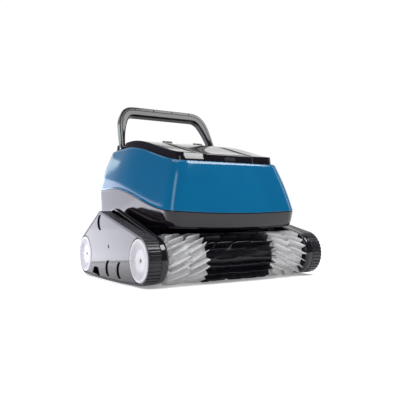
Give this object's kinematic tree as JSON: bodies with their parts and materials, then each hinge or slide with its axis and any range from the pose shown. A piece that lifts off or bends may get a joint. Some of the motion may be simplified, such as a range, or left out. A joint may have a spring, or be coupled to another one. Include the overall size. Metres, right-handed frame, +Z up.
{
  "type": "robotic pool cleaner",
  "caption": "Tracked robotic pool cleaner with finned front and rear brushes, a bail handle, a hinged filter lid and a top water outlet.",
  "frame": {"origin": "middle of the machine's footprint, on the surface its tracks stand on", "axes": "+X to the right side, -Y is the front with the visible brush, +Z up"},
  "size_m": [0.42, 0.4094, 0.4145],
  "materials": {
    "cover_blue": "gloss",
    "body_gloss": "gloss",
    "track": "satin",
    "wheel_white": "satin",
    "brush_white": "satin",
    "brush_black": "satin",
    "dark_plastic": "satin",
    "inner_plastic": "matte",
    "motor_case": "painted",
    "steel": "brushed"
  },
  "bodies": {
    "chassis": {"hull": "body_gloss", "deck": "body_gloss", "top_cover": "cover_blue", "outlet_grille": "dark_plastic", "bottom_plate": "dark_plastic", "cable_gland": "dark_plastic", "cable_gland_nut": "dark_plastic", "outlet_duct": "inner_plastic", "filter_basket": "inner_plastic", "pump_motor": "motor_case", "control_unit": "motor_case", "lid_hinge_pin": "steel", "left_handle_pin": "steel", "left_cover_screw": "steel", "left_flap_pin": "steel", "left_side_frame": "body_gloss", "left_side_cover": "body_gloss", "left_track": "track", "left_gear_motor": "motor_case", "right_handle_pin": "steel", "right_cover_screw": "steel", "right_flap_pin": "steel", "right_side_frame": "body_gloss", "right_side_cover": "body_gloss", "right_track": "track", "right_gear_motor": "motor_case"},
    "lid": {"deck_lid": "body_gloss"},
    "latch": {"lid_latch": "dark_plastic"},
    "impeller": {"impeller": "inner_plastic"},
    "handle": {"handle": "body_gloss"},
    "front_brush": {"front_axle": "steel", "front_brush_tube": "dark_plastic", "front_brush_left_hub": "dark_plastic", "front_brush_right_hub": "dark_plastic", "front_brush_left_sleeve": "brush_white", "front_brush_centre_sleeve": "brush_black", "front_brush_right_sleeve": "brush_white", "left_front_wheel": "wheel_white"},
    "rear_brush": {"rear_axle": "steel", "rear_brush_tube": "dark_plastic", "rear_brush_left_hub": "dark_plastic", "rear_brush_right_hub": "dark_plastic", "rear_brush_left_sleeve": "brush_white", "rear_brush_centre_sleeve": "brush_black", "rear_brush_right_sleeve": "brush_white", "right_rear_wheel": "wheel_white"},
    "left_rear_wheel": {"left_rear_wheel": "wheel_white"},
    "right_front_wheel": {"right_front_wheel": "wheel_white"},
    "left_pulley": {"left_drive_pulley": "dark_plastic"},
    "left_front_idler": {"left_front_idler": "dark_plastic"},
    "left_rear_idler": {"left_rear_idler": "dark_plastic"},
    "left_flap": {"left_inlet_flap": "dark_plastic"},
    "right_pulley": {"right_drive_pulley": "dark_plastic"},
    "right_front_idler": {"right_front_idler": "dark_plastic"},
    "right_rear_idler": {"right_rear_idler": "dark_plastic"},
    "right_flap": {"right_inlet_flap": "dark_plastic"}
  },
  "joints": [
    {"name": "lid_hinge", "type": "hinge", "parent": "chassis", "child": "lid", "pos_m": [0, 0.046, 0.31152], "axis": [-1, 0, 0], "range_deg": [0, 80]},
    {"name": "lid_latch_push", "type": "slide", "parent": "lid", "child": "latch", "axis": [0, 1, 0], "range_m": [0, 0.003], "stiffness_N_per_m": 300},
    {"name": "impeller_spin", "type": "hinge", "parent": "chassis", "child": "impeller", "pos_m": [0, 0.112, 0.21], "axis": [0, 0, 1], "continuous": true},
    {"name": "handle_swing", "type": "hinge", "parent": "chassis", "child": "handle", "pos_m": [0, 0.114, 0.302], "axis": [1, 0, 0], "range_deg": [0, 46]},
    {"name": "front_brush_spin", "type": "hinge", "parent": "chassis", "child": "front_brush", "pos_m": [0, -0.155, 0.05], "axis": [1, 0, 0], "continuous": true},
    {"name": "rear_brush_spin", "type": "hinge", "parent": "chassis", "child": "rear_brush", "pos_m": [0, 0.155, 0.05], "axis": [1, 0, 0], "continuous": true},
    {"name": "left_rear_wheel_spin", "type": "hinge", "parent": "chassis", "child": "left_rear_wheel", "pos_m": [-0.197, 0.155, 0.05], "axis": [1, 0, 0], "continuous": true},
    {"name": "right_front_wheel_spin", "type": "hinge", "parent": "chassis", "child": "right_front_wheel", "pos_m": [0.197, -0.155, 0.05], "axis": [1, 0, 0], "continuous": true},
    {"name": "left_pulley_spin", "type": "hinge", "parent": "chassis", "child": "left_pulley", "pos_m": [-0.19165, 0.053, 0.123], "axis": [1, 0, 0], "continuous": true},
    {"name": "left_front_idler_spin", "type": "hinge", "parent": "chassis", "child": "left_front_idler", "pos_m": [-0.19165, -0.06, 0.0246], "axis": [1, 0, 0], "continuous": true},
    {"name": "left_rear_idler_spin", "type": "hinge", "parent": "chassis", "child": "left_rear_idler", "pos_m": [-0.19165, 0.024, 0.0246], "axis": [1, 0, 0], "continuous": true},
    {"name": "right_pulley_spin", "type": "hinge", "parent": "chassis", "child": "right_pulley", "pos_m": [0.19165, 0.053, 0.123], "axis": [1, 0, 0], "continuous": true},
    {"name": "right_front_idler_spin", "type": "hinge", "parent": "chassis", "child": "right_front_idler", "pos_m": [0.19165, -0.06, 0.0246], "axis": [1, 0, 0], "continuous": true},
    {"name": "right_rear_idler_spin", "type": "hinge", "parent": "chassis", "child": "right_rear_idler", "pos_m": [0.19165, 0.024, 0.0246], "axis": [1, 0, 0], "continuous": true},
    {"name": "left_flap_swing", "type": "hinge", "parent": "chassis", "child": "left_flap", "pos_m": [-0.072, -0.021, 0.025], "axis": [1, 0, 0], "range_deg": [0, 70]},
    {"name": "right_flap_swing", "type": "hinge", "parent": "chassis", "child": "right_flap", "pos_m": [0.072, -0.021, 0.025], "axis": [1, 0, 0], "range_deg": [0, 70]}
  ],
  "couplings": [
    {"joint": "left_rear_wheel_spin", "follows": "front_brush_spin", "ratio": 1},
    {"joint": "right_front_wheel_spin", "follows": "rear_brush_spin", "ratio": 1},
    {"joint": "left_pulley_spin", "follows": "front_brush_spin", "ratio": 1.9364},
    {"joint": "left_front_idler_spin", "follows": "front_brush_spin", "ratio": 2.068},
    {"joint": "left_rear_idler_spin", "follows": "front_brush_spin", "ratio": 2.068},
    {"joint": "right_pulley_spin", "follows": "rear_brush_spin", "ratio": 1.9364},
    {"joint": "right_front_idler_spin", "follows": "rear_brush_spin", "ratio": 2.068},
    {"joint": "right_rear_idler_spin", "follows": "rear_brush_spin", "ratio": 2.068}
  ]
}
